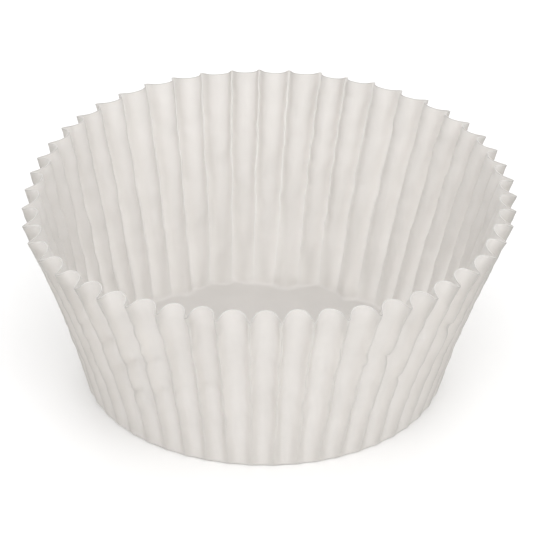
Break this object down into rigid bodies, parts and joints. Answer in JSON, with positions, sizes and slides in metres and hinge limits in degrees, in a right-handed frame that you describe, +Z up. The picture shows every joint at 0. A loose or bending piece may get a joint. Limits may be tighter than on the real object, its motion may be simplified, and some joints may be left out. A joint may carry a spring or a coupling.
{
  "type": "cupcake liner",
  "caption": "Fluted paper baking cup: flat round base, flared pleated wall with an open top, pressed from one thin sheet",
  "frame": {"origin": "middle of the underside of the flat base", "axes": "+Z points up out of the mouth along the cup's axis; a ridge of the wall points along +X"},
  "size_m": [0.072, 0.0718, 0.0308],
  "materials": {
    "paper": "matte, thin and slightly see-through"
  },
  "bodies": {
    "root": {"liner": "paper"}
  },
  "joints": []
}
